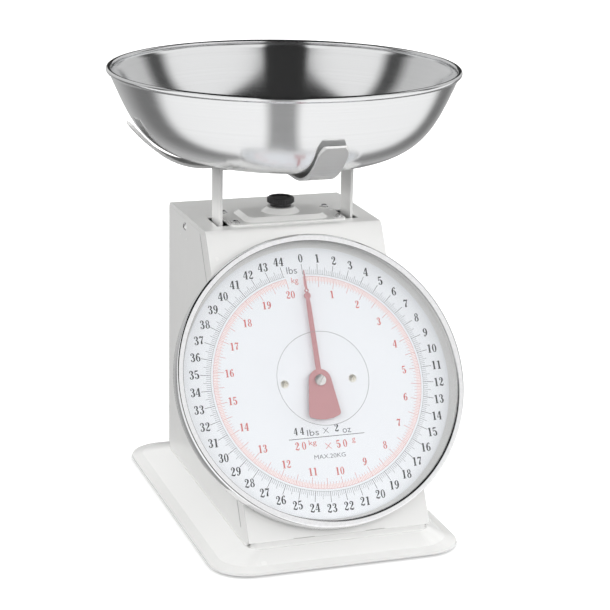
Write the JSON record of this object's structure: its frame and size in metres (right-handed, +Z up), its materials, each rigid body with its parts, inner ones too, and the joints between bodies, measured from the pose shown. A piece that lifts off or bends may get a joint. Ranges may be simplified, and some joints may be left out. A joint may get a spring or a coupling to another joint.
{
  "type": "mechanical dial scale",
  "caption": "Mechanical dial platform scale with a lift-off round bowl on a four-arm cradle, a round leaning dial in a wedge-shaped casing and a zero knob on top.",
  "frame": {"origin": "on the table under the feet, at the centre of the whole outline seen from above", "axes": "+Z up, the dial faces -Y, +X to the right of someone facing the dial"},
  "size_m": [0.262, 0.288, 0.3336],
  "materials": {
    "white_enamel": "gloss",
    "inner_steel": "satin",
    "screw_steel": "bright",
    "brass": "satin",
    "bowl_steel": "fine circular brushing",
    "bezel_chrome": "polished",
    "dial_white": "satin print ground",
    "clear_lens": "clear gloss",
    "gasket": "matte",
    "foot_rubber": "matte",
    "knob_black": "fine grain",
    "pointer_red": "satin",
    "spring_steel": "oiled"
  },
  "bodies": {
    "housing": {"base_plate": "white_enamel", "rubber_feet": "foot_rubber", "foot_screws": "screw_steel", "housing_wrap": "white_enamel", "left_side_panel": "white_enamel", "right_side_panel": "white_enamel", "side_panel_screws": "screw_steel", "top_cover_plate": "white_enamel", "top_cover_screws": "screw_steel", "knob_boss": "white_enamel", "dial_drum": "white_enamel", "dial_plate": "dial_white", "dial_screws": "brass", "bezel_ring": "bezel_chrome", "lens": "clear_lens", "lens_gasket": "gasket", "left_frame_plate": "inner_steel", "right_frame_plate": "inner_steel", "frame_screws": "screw_steel", "top_bridge": "inner_steel", "link_rods": "screw_steel", "movement_front_plate": "brass", "movement_rear_plate": "brass", "movement_pillars": "screw_steel", "front_bush": "brass", "rear_bush": "brass", "rack_guide": "brass"},
    "zero_adjuster": {"zero_knob": "knob_black", "adjusting_screw": "screw_steel"},
    "hanger": {"spring_hanger": "inner_steel", "hanger_pins": "screw_steel", "hanger_guide_pins": "screw_steel", "spring_left": "spring_steel", "spring_right": "spring_steel"},
    "carriage": {"left_post": "white_enamel", "right_post": "white_enamel", "carriage_bar": "inner_steel", "carriage_pins": "screw_steel", "carriage_screws": "screw_steel", "rack_arm": "inner_steel", "link_pins": "screw_steel", "cradle_plate": "white_enamel", "cradle_arms": "white_enamel", "cradle_rivets": "screw_steel"},
    "upper_lever": {"upper_link": "inner_steel"},
    "lower_lever": {"lower_link": "inner_steel"},
    "rack": {"rack_bar": "brass", "rack_pin": "screw_steel"},
    "needle": {"pointer": "pointer_red", "pinion": "brass", "pinion_shaft": "screw_steel", "pointer_screw": "screw_steel"},
    "bowl": {"weighing_bowl": "bowl_steel"}
  },
  "joints": [
    {"name": "platform_travel", "type": "slide", "parent": "housing", "child": "carriage", "axis": [0, 0, -1], "range_m": [0, 0.01587], "stiffness_N_per_m": 12100, "springref_m": -0.0012, "deforming": ["spring_left", "spring_right"]},
    {"name": "pointer_turn", "type": "hinge", "parent": "housing", "child": "needle", "pos_m": [0, -0.07505, 0.11701], "axis": [0, 0.866, -0.5], "range_deg": [0, 350]},
    {"name": "rack_slide", "type": "slide", "parent": "housing", "child": "rack", "axis": [0, -0.5, -0.866], "range_m": [0, 0.01834]},
    {"name": "upper_lever_swing", "type": "hinge", "parent": "housing", "child": "upper_lever", "pos_m": [0, 0.07, 0.18207], "axis": [1, 0, 0], "range_deg": [0, 15.9]},
    {"name": "lower_lever_swing", "type": "hinge", "parent": "housing", "child": "lower_lever", "pos_m": [0, 0.07, 0.04806], "axis": [1, 0, 0], "range_deg": [0, 15.9]},
    {"name": "zero_knob_turn", "type": "hinge", "parent": "housing", "child": "zero_adjuster", "pos_m": [0, 0.018, 0.23], "axis": [0, 0, 1], "range_deg": [-1080, 1080]},
    {"name": "hanger_travel", "type": "slide", "parent": "housing", "child": "hanger", "axis": [0, 0, 1], "range_m": [-0.003, 0.003]},
    {"name": "bowl_lift", "type": "slide", "parent": "carriage", "child": "bowl", "axis": [0, 0, 1], "range_m": [0, 0.15]}
  ],
  "couplings": [
    {"joint": "pointer_turn", "follows": "platform_travel", "rad_per_m": 384.9},
    {"joint": "rack_slide", "follows": "platform_travel", "ratio": 1.1547},
    {"joint": "upper_lever_swing", "follows": "platform_travel", "rad_per_m": 17.432},
    {"joint": "lower_lever_swing", "follows": "platform_travel", "rad_per_m": 17.432},
    {"joint": "zero_knob_turn", "follows": "hanger_travel", "rad_per_m": -6283}
  ]
}
